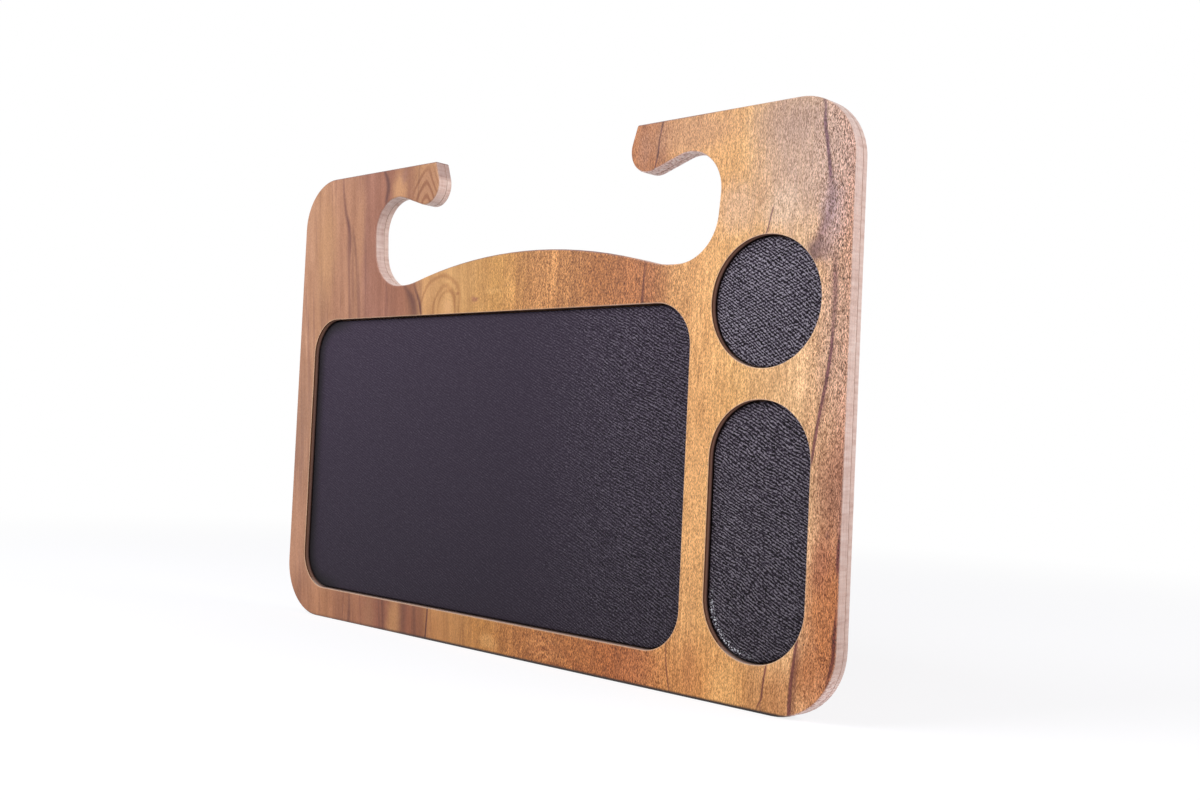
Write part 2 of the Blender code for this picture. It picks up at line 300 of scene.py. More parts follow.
# %% The front board's mineral streaks
FRONT_STREAKS = {
    # height, place from the middle, half width, darkness
    "left": [(0, -141.2, 2.6, 0.58), (8, -141.5, 2.4, 0.66), (19, -142.2, 2.2, 0.55),
             (190, -157.0, 1.8, 0.40), (212, -158.9, 2.2, 0.50), (227, -160.5, 3.0, 0.62),
             (238, -160.8, 3.6, 0.85), (248, -162.4, 3.2, 0.88), (258, -166.5, 2.6, 0.72),
             (269, -169.3, 2.2, 0.62), (280, -171.0, 1.8, 0.52)],
    "left_tail": [(190, -148.0, 1.4, 0.30), (212, -150.5, 1.7, 0.42), (232, -154.0, 2.2, 0.50),
                  (243, -157.0, 2.0, 0.30), (250, -159.0, 1.6, 0.0)],
    "hook_root": [(184, -89.0, 7.0, 0.56), (191, -91.0, 7.0, 0.64), (197, -93.6, 6.6, 0.70),
                  (202, -97.0, 5.6, 0.66), (207, -102.2, 3.6, 0.46), (255, -125.6, 1.8, 0.20),
                  (259, -125.0, 2.4, 0.60), (264, -124.0, 3.2, 0.84), (269, -123.1, 3.2, 0.88),
                  (275.5, -125.3, 2.9, 0.80), (280, -128.0, 2.4, 0.60)],
    "tone_step": [(0, -66.9, 1.1, 1.40), (17, -66.1, 1.0, 1.40), (186, -85.0, 1.3, 0.85),
                  (195.5, -87.1, 2.2, 1.00), (200.6, -89.4, 2.4, 0.85), (205.2, -92.1, 1.8, 0.55),
                  (209, -94.0, 1.0, 0.25)],
    "middle": [(0, 117.9, 0.7, 1.00), (12.9, 115.2, 0.7, 1.05), (24, 113.9, 0.6, 0.80),
               (186, 89.3, 1.5, 1.00), (200, 89.6, 1.3, 0.95), (211, 90.4, 1.1, 0.70),
               (255, 93.4, 0.8, 1.35), (263.6, 95.4, 0.8, 1.50), (271.5, 96.2, 0.8, 1.50),
               (280, 98.2, 0.8, 1.40)],
    "long": [(0, 187.0, 1.7, 1.70), (9, 187.1, 1.8, 1.80), (15.7, 187.4, 1.7, 1.70),
             (21, 187.8, 1.6, 1.50), (29, 188.8, 1.5, 1.50), (36, 189.6, 1.2, 1.10),
             (44, 190.4, 0.9, 0.0), (108, 192.3, 1.0, 0.55), (116.7, 193.6, 1.4, 1.30),
             (131.2, 195.8, 1.5, 1.45), (151, 199.4, 1.5, 1.45), (163.7, 201.2, 1.6, 1.30),
             (178, 202.0, 2.2, 0.90), (188, 202.2, 2.9, 0.85), (196, 202.0, 3.1, 0.80),
             (203, 201.6, 3.2, 0.55), (210, 201.4, 3.0, 0.0)],
    "long_stain": [(0, 188.4, 2.8, 0.60), (15, 189.0, 3.0, 0.66), (26, 189.8, 2.8, 0.74),
                   (33, 190.4, 2.2, 0.30), (38, 190.8, 2.0, 0.0), (112, 193.5, 2.2, 0.0),
                   (140, 198.4, 3.0, 0.40), (165, 202.0, 3.2, 0.36), (185, 203.0, 3.0, 0.0)],
    "long_upper": [(203, 189.8, 4.0, 0.0), (208, 190.1, 5.5, 0.64), (214.3, 192.4, 5.5, 0.68),
                   (219.5, 195.0, 5.0, 0.62), (226, 197.6, 5.0, 0.58), (234, 198.4, 4.6, 0.54),
                   (241, 197.6, 2.4, 0.75), (246.1, 196.8, 1.6, 1.35), (257, 195.2, 1.5, 1.55),
                   (265.3, 193.6, 1.5, 1.60), (273.4, 193.4, 1.5, 1.50), (280, 191.5, 1.5, 1.25)],
    "crack": [(0, 168.8, 0.8, 0.50), (3.8, 169.9, 0.9, 0.90), (5.8, 171.3, 0.9, 1.30),
              (10.9, 172.1, 0.85, 1.40), (15.4, 172.5, 0.8, 1.40), (22, 173.6, 0.8, 1.10),
              (30, 174.8, 0.7, 0.0), (216, 163.1, 0.6, 0.0), (219, 163.9, 0.6, 1.60),
              (229, 166.7, 0.6, 1.50), (232.5, 167.5, 0.5, 0.0)],
    "crack_fork": [(0, 172.0, 0.7, 0.70), (3.5, 171.2, 0.7, 0.80), (6.5, 171.4, 0.6, 0.0)],
    "right_edge": [(18, 205.6, 1.2, 0.70), (24.3, 207.2, 1.6, 1.30), (29.3, 208.3, 1.7, 1.50),
                   (34.2, 208.6, 1.7, 1.50), (42.8, 208.8, 1.5, 1.20), (50, 209.2, 1.2, 0.60),
                   (60, 209.4, 1.1, 0.30), (66, 209.2, 1.2, 0.60), (69.7, 209.0, 1.6, 1.20),
                   (76, 209.1, 1.7, 1.30), (82, 209.2, 1.4, 0.80), (92, 209.4, 1.2, 0.40),
                   (110, 209.4, 1.1, 0.25), (140, 209.4, 1.0, 0.0)],
    "faint": [(0, -36.0, 0.5, 0.26), (11, -35.6, 0.5, 0.30), (19, -35.5, 0.4, 0.20),
              (186, 100.6, 0.6, 0.24), (208, 99.9, 0.5, 0.20)],
}
print("mineral streaks on the front board:", len(FRONT_STREAKS))

# %% Draw the streaks
STREAK_REACH = 210.0         # the curves count from -1 to 1, which stands for this many millimetres
WIDEST_STREAK = 10.0
BOARD_TOP = 280.0
TREMBLE = 0.35               # how far a streak's sides stray, in millimetres
TREMBLE_WIDTH, TREMBLE_LENGTH = 2.4, 8.0
STREAK_GRAIN = 0.35, 0.65, 0.72, 1.15    # how dark a streak is by the fibre pattern's level


def mineral_streaks(put, place, fibres, streaks, colour, seed):
    """The wood's colour with every streak of one board drawn in."""
    tremble = stretched(put, place, TREMBLE_WIDTH, TREMBLE_LENGTH, seed + 37, Detail=2.0, Roughness=0.6)
    x, z = put("SeparateXYZ", [place], output="XZ")
    shaken = put("Math MULTIPLY_ADD", [tremble, TREMBLE * 2, put("Math SUBTRACT", [x, TREMBLE])])
    upward = put("CombineXYZ", [put("Math DIVIDE", [z, BOARD_TOP])] * 3)
    darkness = 0.0
    for points in streaks.values():
        held = put("VectorCurve", [1.0, upward])
        curves = held.node.mapping
        curves.extend = "HORIZONTAL"
        for axis, scale in enumerate((STREAK_REACH, WIDEST_STREAK, 1.0)):
            line = curves.curves[axis].points
            while len(line) < len(points):
                line.new(0.0, 0.0)
            for knot, row in zip(line, points):
                knot.location = (row[0] / BOARD_TOP, row[1 + axis] / scale)
                knot.handle_type = "AUTO_CLAMPED"
        curves.update()
        middle, half, dark = put("SeparateXYZ", [held], output="XYZ")
        off = put("Math MULTIPLY_ADD", [middle, -STREAK_REACH, shaken])
        reach = put("Math MULTIPLY", [half, WIDEST_STREAK])
        near = put("Math DIVIDE", [put("Math ABSOLUTE", [off]), reach])
        line = put("MapRange SMOOTHSTEP", [near, 0.0, 1.0, dark, 0.0])
        darkness = put("Math MAXIMUM", [darkness, line])
    grainy = put("MapRange", [fibres, *STREAK_GRAIN])
    share = put("Math MULTIPLY", [darkness, grainy], use_clamp=True)
    return put("Mix MULTIPLY", [share, colour, STREAK_COLOUR]), share


print("a streak's sides stray by up to", TREMBLE, "mm")

# %% [markdown]
# Small knots, smudges and greyed or reddened patches have no line to follow. Each is a soft ellipse
# with a ragged rim, listed by its place, its half sizes, its colour and how strongly it covers. The
# greyed and pale patches round the right hook are partly a painted sheen: they paint in the haze that
# the lights leave on the top right.
#
# Arched rings come from a slice that runs level with the yearly rings. A height is worked out that
# is the same all along one arch, and a sine of that height draws one thin dark line for each year.
# Where the slice cuts the side of a knot, the rings close, and each of them is a line along an ellipse.

# %% The front board's knots, patches and rings
FRONT_PATCHES = [
    # x, z, half width, half height, colour, cover
    (-202, 128, 15, 44, "#A27861", 0.50),
    (-204, 48, 17, 46, "#C79070", 0.50),
    (-184, 234, 15, 52, "#C49367", 0.52),
    (-150, 246, 8, 44, "#BD8967", 0.60),
    (-84, 266, 22, 30, "#B17E5D", 0.92),
    (-112, 264, 10, 24, "#D09B6E", 0.75),
    (-108, 275, 5, 8, "#91645B", 0.45),
    (97, 268, 6, 18, "#9B6343", 0.80),
    (86, 266, 8, 17, "#B07A5C", 0.60),
    (118, 272, 42, 17, "#C28F6A", 0.66),
    # partly painted sheen: the greyed and pale patches at x 147 to 199 and z 223 to 272
    (186, 254, 46, 58, "#B09592", 0.64),
    (172, 272, 30, 22, "#A48275", 0.50),
    (147, 232, 18, 20, "#D8B39C", 0.50),
    (199, 223, 10, 26, "#AE96A5", 0.45),
    (193, 209, 11, 9, "#6E4E58", 0.66),
    (172, 230, 15, 15, "#EACDB6", 0.42),
    (203, 174, 14, 56, "#C8A48E", 0.55),
    (205, 103, 15, 31, "#8F563C", 0.68),
    (205, 45, 22, 56, "#BA6F38", 0.85),
    (193, 22, 9, 17, "#A65A26", 0.50),
    (200.5, 70, 8, 20, "#A35F45", 0.60),
    (203.3, 83.3, 1.8, 3.0, "#7C4B3D", 0.65),
    (199.6, 33.4, 1.5, 1.5, "#703A25", 0.75),
    (193.2, 34.2, 0.7, 0.7, "#321C16", 0.90),
    (135.4, 110.9, 0.8, 0.9, "#452B22", 0.80),
    (128, 92, 17, 64, "#EEB477", 0.58),
    (58, 205, 17, 22, "#A46534", 0.55),
    (101, 199, 8, 16, "#AB6E40", 0.55),
    (-37.4, 196.0, 5.0, 2.8, "#9A5F48", 0.80),
    (-53.0, 200.4, 1.9, 1.5, "#A5683F", 0.75),
    (-61.0, 192.0, 7.0, 10.0, "#E3AE80", 0.40),
    (-22.0, 200.8, 11.0, 2.2, "#F1BC77", 0.36),
    (-12.6, 6.3, 11.0, 6.0, "#F1BA79", 0.34),
    (129, 12, 9, 22, "#C2804E", 0.50),
    (150, 4, 14, 24, "#F5BC78", 0.72),
    (180, 8, 12, 22, "#BA7C4C", 0.62),
    (-96, 0, 11, 40, "#D8A068", 0.55),
    (-122, 0, 9, 40, "#AE7956", 0.55),
    (98, 10, 24, 15, "#C2794A", 0.55),
    (32, 9, 20, 9, "#E69F63", 0.48),
]
FRONT_ARCHES = [
    # middle, height of the top, steepness, roundness, ring spacing, half width, half height, strength
    (-87.0, 270.5, 1.55, 2.5, 8.4, 16.0, 21.0, 0.62),
    (31.5, 12.0, 1.10, 4.0, 5.6, 15.0, 13.0, 0.36),
    (40.0, 8.0, 0.70, 22.0, 11.0, 34.0, 24.0, 0.34),
    (161.0, 240.0, 1.20, 1.5, 5.0, 5.0, 7.0, 0.26),
]
FRONT_LOOPS = [
    # middle x, middle z, half width, half height, half the line's width, strength
    (-68.0, 190.0, 18.0, 21.0, 1.7, 0.44),
    (-63.5, 190.0, 9.8, 16.0, 1.4, 0.40),
    (-61.0, 192.0, 7.8, 11.2, 1.3, 0.40),
]
print("patches, arches and closed rings on the front board:",
      len(FRONT_PATCHES), len(FRONT_ARCHES), len(FRONT_LOOPS))

# %% Draw knots, patches and rings
RING_COLOUR = "#B48A6E"
RAGGED_SCALE, RAGGED_REACH = 0.22, (5.0, 0.0, 9.0)   # one over the size of the waves, and millimetres
SWAY_SCALE, SWAY_REACH = 0.06, (9.0, 0.0, 9.0)
SMALL_KNOT = 3.0             # narrower knots keep their plain outline
KNOT_CORE, ARCH_CORE = 0.2, 0.45         # the share of the ellipse that is covered fully
RING_LEVELS = -0.3, 1.0, 0.0             # the part of each wave that is drawn as a ring
ARCH_DROP = 0.4              # how far the ellipse of an arched figure lies below its top


def strayed(put, place, scale, detail, reach, seed):
    """The place moved about by a noise, so that what is drawn with it has a wavy or ragged outline."""
    stray = put("TexNoise", {"Vector": place, "Scale": scale, "Detail": detail, "W": seed},
                output="Color", noise_dimensions="4D")
    centred = put("VectorMath SUBTRACT", [stray, (0.5,) * 3])
    return put("VectorMath MULTIPLY_ADD", [centred, reach, place])


def ellipse_distance(put, place, x, z, half_width, half_height):
    """How far a point is from the middle of an ellipse on the face, 1 on the ellipse itself."""
    centred = put("VectorMath ADD", [place, (-x, 0, -z)])
    scaled = put("VectorMath MULTIPLY", [centred, (1 / half_width, 0, 1 / half_height)])
    return put("VectorMath LENGTH", [scaled], output="Value")


def soft_ellipse(put, place, ellipse, inner):
    """1 in the middle of an ellipse and 0 outside, falling off from its inner share on."""
    distance = ellipse_distance(put, place, *ellipse)
    return put("MapRange SMOOTHSTEP", [distance, inner, 1.0, 1.0, 0.0])


def patches_and_rings(put, place, patches, arches, loops, colour, seed):
    """The wood's colour with its knots, patches, closed rings and arched rings."""
    ragged = strayed(put, place, RAGGED_SCALE, 3.0, RAGGED_REACH, seed)
    for *ellipse, tone, cover in patches:
        inside = soft_ellipse(put, place if ellipse[2] < SMALL_KNOT else ragged, ellipse, KNOT_CORE)
        share = put("Math MULTIPLY", [inside, cover])
        colour = put("Mix", [share, colour, tone])
    swayed = strayed(put, place, SWAY_SCALE, 0.0, SWAY_REACH, seed)
    for *ellipse, half_line, strength in loops:
        off = put("Math SUBTRACT", [ellipse_distance(put, swayed, *ellipse), 1.0])
        off = put("Math ABSOLUTE", [off])
        ring = put("MapRange SMOOTHSTEP", [off, 0.0, half_line / ellipse[2], strength, 0.0])
        colour = put("Mix MULTIPLY", [ring, colour, RING_COLOUR])
    x, z = put("SeparateXYZ", [swayed], output="XZ")
    for middle, top, steep, roundness, spacing, half_width, half_height, strength in arches:
        side = put("Math SUBTRACT", [x, middle])
        bent = put("Math SQRT", [put("Math MULTIPLY_ADD", [side, side, roundness ** 2])])
        level = put("Math MULTIPLY_ADD", [bent, steep, z])
        wave = put("Math SINE", [put("Math MULTIPLY", [level, 2 * math.pi / spacing])])
        ring = put("MapRange SMOOTHSTEP", [wave, *RING_LEVELS, strength])
        ellipse = middle, top - ARCH_DROP * half_height, half_width, half_height
        window = soft_ellipse(put, place, ellipse, ARCH_CORE)
        share = put("Math MULTIPLY", [ring, window])
        colour = put("Mix MULTIPLY", [share, colour, RING_COLOUR])
    return colour


print("patches wider than", 2 * SMALL_KNOT, "mm have a ragged rim")

# %% [markdown]
# ## Cut edges and pocket walls
#
# The outline was routed and sanded with the grain standing on end or on its side, so it drinks less
# oil and looks paler and pinker than the face, most of all left of the middle. Towards the foot the
# edges are darkened with painted shade. Faint marks of the cutter cross the thickness, and under the
# right hook it tore the fibres. The pocket walls are brown from the heat of the cutter. Their rim and
# the walls that face up carry a painted highlight, and the deepest part of each wall, beside the
# leather, carries painted shade. Painted shade also lies in a thin line along the top edges of the
# hooks and the arch, and as a painted contact shadow under the foot and along the lowest millimetres
# of the faces. The direction a surface faces tells a cut edge from the face, and the distance from a
# pocket's outline tells a pocket wall from the outer edge.

# %% Cut edges
EDGE_TONES = [(0.0, "#B9978D"), (0.45, "#D9BFB7"), (1.0, "#EBDAD4")]
EDGE_TURN = 0.93, 0.35, 0.0, 1.0         # by how squarely a surface faces the front or the back
EDGE_COVER = 0.85
CUTTER_SCALE = 0.55, 0.06, 0.55          # one over the size of the marks along each axis
LAYER_SCALE = 0.25, 2.6, 0.05            # fine layers that run round the edge
EDGE_LEVELS = 0.65, 1.35                 # of both noises together
PALER_LEFT, PALER_MIDDLE = (-120.0, -60.0, 1.16, 1.32), (-60.0, 60.0)     # along x
EDGE_SHADE_LOW = 0.0, 110.0, 0.78, 1.0       # along z: painted shade towards the foot
TORN_TONES = [(0.36, "#C09890"), (0.50, "#F7D3CA"), (0.66, "#FFEEE9")]
TORN_SCALE = 0.90, 0.45, 1.6
TORN_TURN, TORN_REACH = (-0.20, -0.60), (20.0, 70.0)     # by how far it faces up, and along x
# painted shade: a thin dark line on the upward edges of the hook tops and the arch
TOP_EDGE_SHADE, TOP_SHADE_TURN = "#7A5656", (0.10, 0.50, 0.0, 0.85)
HOOK_TOPS, HOOKS_END = (262.0, 272.0), (120.0, 165.0, 1.0, 0.0)           # along z and x
ARCH_END = 66.0, 80.0, 1.0, 0.0          # to both sides of the middle
# painted contact shadow: dark on the underside at the foot and on the lowest 2 mm of the faces
CONTACT_SHADE, FOOT_TURN = "#271C18", (-0.15, -0.50, 0.0, 0.9)
FOOT_TOP = 1.0, 3.0, 1.0, 0.0            # along z, on the underside
LINE_TOP, LINE_GROWS = (1.0, 2.0, 1.0, 0.0), (-150.0, -60.0, 0.3, 1.0)    # z and x, on the faces


def cut_edges(put, place, upward, colour, seed):
    """The colour with pale cut edges, painted shade on tops and foot, and how much is cut edge."""
    x, z = put("SeparateXYZ", [place], output="XZ")
    facing = put("SeparateXYZ", [put("NewGeometry", output="Normal")], output="Y")
    edge = put("MapRange SMOOTHSTEP", [put("Math ABSOLUTE", [facing]), *EDGE_TURN])
    cutter = noise_at(put, place, CUTTER_SCALE, (seed, 0, 0), Detail=2.0, Roughness=0.6)
    layers = noise_at(put, place, LAYER_SCALE, (seed, 0, 0), Detail=3.0, Roughness=0.6)
    marks = put("MapRange", [put("Math ADD", [cutter, layers]), *EDGE_LEVELS])
    pale = put("ValToRGB", [marks], stops=EDGE_TONES)
    paler = put("MapRange", [x, *PALER_MIDDLE, put("MapRange", [x, *PALER_LEFT]), 1.0])
    # painted shade: the pale edges darken towards the foot
    paler = put("Math MULTIPLY", [paler, put("MapRange", [z, *EDGE_SHADE_LOW])])
    pale = put("VectorMath SCALE", [pale, paler])
    colour = put("Mix", [put("Math MULTIPLY", [edge, EDGE_COVER]), colour, pale])

    torn = noise_at(put, place, TORN_SCALE, (seed, 0, 0), Detail=2.0)
    torn = put("ValToRGB", [torn], stops=TORN_TONES)
    under = put("Math MULTIPLY", [put("MapRange", [upward, *TORN_TURN]),
                                  put("MapRange", [x, *TORN_REACH])])
    colour = put("Mix", [under, colour, torn])

    hooks = put("Math MULTIPLY", [put("MapRange", [z, *HOOK_TOPS]), put("MapRange", [x, *HOOKS_END])])
    arch = put("MapRange", [put("Math ABSOLUTE", [x]), *ARCH_END])
    topmost = put("MapRange SMOOTHSTEP", [upward, *TOP_SHADE_TURN])
    topmost = put("Math MULTIPLY", [topmost, put("Math MAXIMUM", [hooks, arch])])
    # painted shade on the top edges
    colour = put("Mix", [topmost, colour, TOP_EDGE_SHADE])

    # painted contact shadow at the foot
    foot = put("MapRange SMOOTHSTEP", [upward, *FOOT_TURN])
    foot = put("Math MULTIPLY", [foot, put("MapRange", [z, *FOOT_TOP])])
    contact = put("Math MULTIPLY", [put("MapRange", [z, *LINE_TOP]), put("MapRange", [x, *LINE_GROWS])])
    return put("Mix", [put("Math MAXIMUM", [foot, contact]), colour, CONTACT_SHADE]), edge


print("the marks of the cutter are about", round(1 / CUTTER_SCALE[0], 1), "mm apart")

# %% Pocket walls
POCKETS = [
    # middle x, middle z, half width, half height, corner radius, in millimetres
    (-35.75, 103.65, 156.85, 85.25, 22.0),
    (164.30, 187.40, 30.90, 30.90, 30.9),
    (164.30, 81.55, 28.50, 60.35, 28.0),
]
FRONT_FACE = -5.0
WALL_REACH = 1.0, 3.0, 1.0, 0.0          # by the distance from a pocket's outline
WALL_DEPTH = 0.0, 4.0                    # the tones run from the face to this far behind it
# scorched brown, with a painted highlight at the face and painted shade deep in, by the leather
WALL_SHADING = [(0.0, "#FFE3BA"), (0.04, "#B07A48"), (0.08, "#4E2A1A"), (0.20, "#74462F"),
              (0.34, "#96705F"), (0.54, "#9A7668"), (0.66, "#85635A"), (0.78, "#45302D"),
              (1.0, "#130E0D")]
UPWARD_HIGHLIGHT = "#DAC5BC"           # painted highlight on the walls that face up
LIT_TURN, LIT_DEPTH = (0.70, 0.98, 0.0, 0.85), (0.9, 1.8, 1.0, 0.15)
# painted highlight on the face along each pocket's rim
RIM_HIGHLIGHT, RIM_REACH = "#F3D1AF", (0.1, 0.75, 0.45, 0.0)


def pocket_distance(put, place):
    """The distance from a point to the nearest pocket outline, more than 0 on the wood between them."""
    nearest = None
    for x, z, half_width, half_height, radius in POCKETS:
        folded = put("VectorMath ABSOLUTE", [put("VectorMath ADD", [place, (-x, 0, -z)])])
        inner = half_width - radius, 1000, half_height - radius
        outside = put("VectorMath MAXIMUM", [put("VectorMath SUBTRACT", [folded, inner]), (0, 0, 0)])
        length = put("VectorMath LENGTH", [outside], output="Value")
        distance = put("Math SUBTRACT", [length, radius])
        nearest = distance if nearest is None else put("Math MINIMUM", [nearest, distance])
    return nearest


def pocket_walls(put, place, upward, colour, edge):
    """The colour with brown pocket walls, painted highlights on the rims and painted shade deep in."""
    distance = pocket_distance(put, place)
    wall = put("Math MULTIPLY", [edge, put("MapRange", [distance, *WALL_REACH])])
    depth = put("Math SUBTRACT", [put("SeparateXYZ", [place], output="Y"), FRONT_FACE])
    shaded_wall = put("ValToRGB", [put("MapRange", [depth, *WALL_DEPTH])], stops=WALL_SHADING)
    # painted highlight where a wall faces up
    lit_up = put("MapRange SMOOTHSTEP", [upward, *LIT_TURN])
    lit_up = put("Math MULTIPLY", [lit_up, put("MapRange", [depth, *LIT_DEPTH])])
    shaded_wall = put("Mix", [lit_up, shaded_wall, UPWARD_HIGHLIGHT])
    colour = put("Mix", [wall, colour, shaded_wall])
    # painted highlight along the rim
    rim = put("MapRange SMOOTHSTEP", [distance, *RIM_REACH])
    rim_highlight = put("Math MULTIPLY", [rim, put("Math SUBTRACT", [1.0, edge])])
    return put("Mix", [rim_highlight, colour, RIM_HIGHLIGHT])


print("the pockets' half widths and half heights in millimetres:", [row[2:4] for row in POCKETS])

# %% [markdown]
# Now the two boards get their material. Oil fills the fibres but not the pores, so the relief is
# low: the fibres stand a few hundredths of a millimetre high and the streaks lie a little deeper.
# Oiled wood keeps an index of refraction of 1.5, with a roughness near 0.45. The back board is
# plainer, with two streaks and one ring figure of its own.

# %% Oiled hardwood
FIBRE_RELIEF = 0.00005       # metres
SHEEN = 0.3, 0.7, 0.50, 0.36             # the roughness falls where a hard fibre is polished
STREAK_DEPTH = 0.5           # how deep a full streak lies, as a share of the relief


def oiled_hardwood(name, tones, streaks, patches, arches, loops, seed, is_front):
    """Oiled solid hardwood with the figure that the lists describe."""
    made, put = start_material(name)
    place, grain = grain_place(put, seed)
    upward = put("SeparateXYZ", [put("NewGeometry", output="Normal")], output="Z")
    colour, fibres = toned_wood(put, place, grain, tones, seed, is_front)
    colour = patches_and_rings(put, place, patches, arches, loops, colour, seed)
    colour, streak = mineral_streaks(put, place, fibres, streaks, colour, seed)
    colour, dashes = fibre_ends(put, place, grain, colour, seed, is_front)
    colour, edge = cut_edges(put, place, upward, colour, seed)
    if is_front:
        colour = pocket_walls(put, place, upward, colour, edge)
    height = put("Math MULTIPLY_ADD", [streak, -STREAK_DEPTH, fibres])
    height = put("Math ADD", [dashes, height])
    relief = put("Bump", {"Strength": 0.6, "Distance": FIBRE_RELIEF, "Height": height})
    sheen = put("MapRange", [dashes, *SHEEN])
    shader = put("BsdfPrincipled", {"Base Color": colour, "Roughness": sheen, "IOR": 1.5,
                                    "Specular IOR Level": 0.35, "Normal": relief})
    put("OutputMaterial", [shader])
    return made


print("the fibres' relief is", 1000 * FIBRE_RELIEF, "mm")

# %% The two boards
FRONT_TONES = [(-210, "#B6856A"), (-185, "#BA8866"), (-172, "#B27F63"), (-150, "#AF7C60"),
               (-140, "#9D6A57"), (-124, "#9A6550"), (-104, "#945F48"), (-91, "#956347"),
               (-82, "#C5915E"), (-55, "#CC9A61"), (-20, "#C38E4E"), (12, "#BD834E"),
               (38, "#BD814C"), (80, "#B27042"), (96, "#AE6F45"), (108, "#D59B63"),
               (130, "#E6AC6E"), (150, "#E5AF6F"), (185, "#EEBF8D"), (210, "#C89179")]
BACK_TONES = [(-210, "#BC8F74"), (-120, "#C79A72"), (-40, "#B98862"), (30, "#CB9B6E"),
              (120, "#B5835F"), (210, "#BE917A")]
BACK_STREAKS = {
    "one": [(0, -70, 1.0, 0.4), (90, -62, 1.6, 0.6), (190, -74, 1.2, 0.5), (280, -80, 0.8, 0.3)],
    "two": [(0, 120, 0.8, 0.3), (110, 131, 1.4, 0.6), (200, 126, 1.8, 0.5), (280, 118, 1.0, 0.4)],
}
BACK_PATCHES = [(60, 120, 60, 40, "#A87956", 0.35), (-140, 60, 40, 50, "#C9A080", 0.40)]
BACK_ARCHES = [(20, 120.0, 2.6, 6.0, 12.0, 46.0, 110.0, 0.40)]

front_wood = oiled_hardwood("oiled_hardwood_front", FRONT_TONES, FRONT_STREAKS, FRONT_PATCHES,
                            FRONT_ARCHES, FRONT_LOOPS, 3.0, is_front=True)
back_wood = oiled_hardwood("oiled_hardwood_back", BACK_TONES, BACK_STREAKS, BACK_PATCHES,
                           BACK_ARCHES, (), 41.0, is_front=False)
for node, wood in (("front_board", front_wood), ("back_board", back_wood)):
    nodes[node].data.materials.clear()
    nodes[node].data.materials.append(wood)
print("nodes in the front board's material:", len(front_wood.node_tree.nodes))

# %% [markdown]
# ## The glue line
#
# The boards are glued face to face under a press. What shows of the glue is one fine line all round
# the edge, a little below the surface because the edge was sanded and the soft glue wore faster. The
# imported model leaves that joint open. The film is made from the back face of the front board itself:
# its polygons are copied, given the joint's thickness and drawn in slightly, so that the film has
# the outline of the boards and a hole at each pocket.

# %% Glue film between the boards
GLUE_DRAWN_IN = 0.00012      # metres
FILM_PLAY = 0.00002          # keeps the film's faces off the boards' faces
SAME_PLACE, IN_JOINT = 1e-6, 1e-5        # how near two corners, or a corner and the joint, may be


def fix_order(parts, key):
    """Puts corners, edges or faces in a fixed order. Growing them may give another order each run."""
    for index, part in enumerate(sorted(parts, key=key)):
        part.index = index
    parts.sort()


joint_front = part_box("front_board")[1].y
joint_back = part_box("back_board")[0].y

film_build = bmesh.new()
film_build.from_mesh(nodes["front_board"].data)
bmesh.ops.remove_doubles(film_build, verts=film_build.verts, dist=SAME_PLACE)
away = [face for face in film_build.faces
        if any(abs(corner.co.y - joint_front) > IN_JOINT for corner in face.verts)]
bmesh.ops.delete(film_build, geom=away, context="FACES")
rim_moves = {}
for edge in film_build.edges:
    if edge.is_boundary:
        face = edge.link_faces[0]
        first, second = (corner.co for corner in edge.verts)
        sideways = Vector((0, 1, 0)).cross(second - first).normalized()
        if sideways.dot(face.calc_center_median() - first) < 0:
            sideways = -sideways
        for corner in edge.verts:
            rim_moves.setdefault(corner, Vector()).__iadd__(sideways)
for corner, move in rim_moves.items():
    corner.co += move.normalized() * GLUE_DRAWN_IN
for corner in film_build.verts:
    corner.co.y = joint_front + FILM_PLAY
grown = bmesh.ops.extrude_face_region(film_build, geom=film_build.faces[:])
for thing in grown["geom"]:
    if isinstance(thing, bmesh.types.BMVert):
        thing.co.y = joint_back - FILM_PLAY
bmesh.ops.recalc_face_normals(film_build, faces=film_build.faces)
fix_order(film_build.verts, lambda corner: corner.co[:])
for parts in (film_build.edges, film_build.faces):
    fix_order(parts, lambda part: sorted(corner.index for corner in part.verts))
film_mesh = bpy.data.meshes.new("glue_film")
film_build.to_mesh(film_mesh)
film_build.free()
glue_film = add_object("glue_film", film_mesh)


def plain_finish(name, scale, detail, stops, relief=0.0, **shader):
    """A dull or milky finish with a cloudy colour, and low relief where it is given in metres."""
    made, put = start_material(name)
    place = put("TexCoord", output="Object")
    clouds = put("TexNoise", {"Vector": place, "Scale": scale, "Detail": detail})
    if relief:
        shader["Normal"] = put("Bump", {"Strength": 0.4, "Distance": relief, "Height": clouds})
    shader["Base Color"] = put("ValToRGB", [clouds], stops=stops)
    put("OutputMaterial", [put("BsdfPrincipled", shader)])
    return made


cured_glue = plain_finish("cured_wood_glue", 320.0, 2.0, [(0.3, "#8A6450"), (0.7, "#B08C78")],
                          Roughness=0.5, IOR=1.47)
film_mesh.materials.append(cured_glue)
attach(glue_film, "root")
print("the glue film is", round(1000 * (joint_back - joint_front), 2), "mm thick, with",
      len(film_mesh.polygons), "faces")

# %% [markdown]
# ## The leather covers
#
# Each pad is a piece of pebbled black leather that is stretched over a stiff board and glued down
# behind it. The face is nearly flat and lies a little proud near its rim, where the leather turns
# over the board's edge, and round the curved ends the spare leather gathers into small puckers. A
# cloth simulation would only find that same flat sheet, so the form is made in rings: the pocket's
# outline is walked round in even steps, and each ring is that outline brought in a little more and
# set at its own depth. The innermost rings close on a line along the middle of the pad.
#
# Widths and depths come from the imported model: every cover has the size of its CAD solid.

# %% Walk round a pad
STEP = 0.0010                # metres between neighbouring points along the rim


